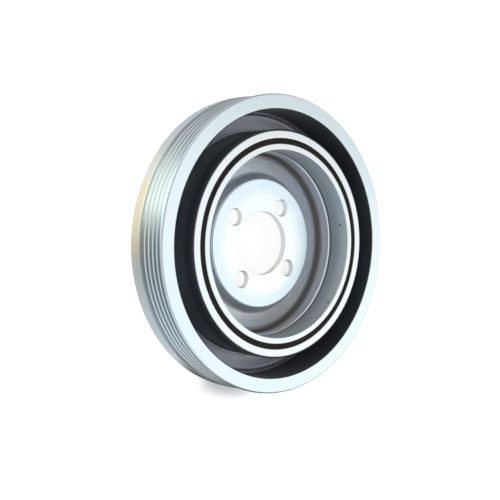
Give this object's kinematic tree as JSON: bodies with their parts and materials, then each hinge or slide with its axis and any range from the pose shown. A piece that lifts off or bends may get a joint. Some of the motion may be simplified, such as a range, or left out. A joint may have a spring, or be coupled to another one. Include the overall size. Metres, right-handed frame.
{
  "type": "crankshaft pulley",
  "caption": "Crankshaft pulley for a ribbed belt: a grooved U-section steel ring bonded by rubber to a pressed steel hub with a centre bore and bolt holes.",
  "frame": {"origin": "on the axis, in the plane of the crank seat: the back face of the hub's mounting plate", "axes": "+Z along the pulley's axis towards its open front, +X midway between two bolt holes"},
  "size_m": [0.166, 0.166, 0.0285],
  "materials": {
    "zinc_plated_steel": "turned steel with a bright, clear-passivated zinc plating",
    "damper_rubber": "smooth moulded black rubber",
    "lining_rubber": "thin matt black rubber skin"
  },
  "bodies": {
    "root": {"hub": "zinc_plated_steel", "pulley_ring": "zinc_plated_steel", "damper_rubber": "damper_rubber", "rim_lining": "lining_rubber", "sleeve_lining": "lining_rubber"}
  },
  "joints": []
}
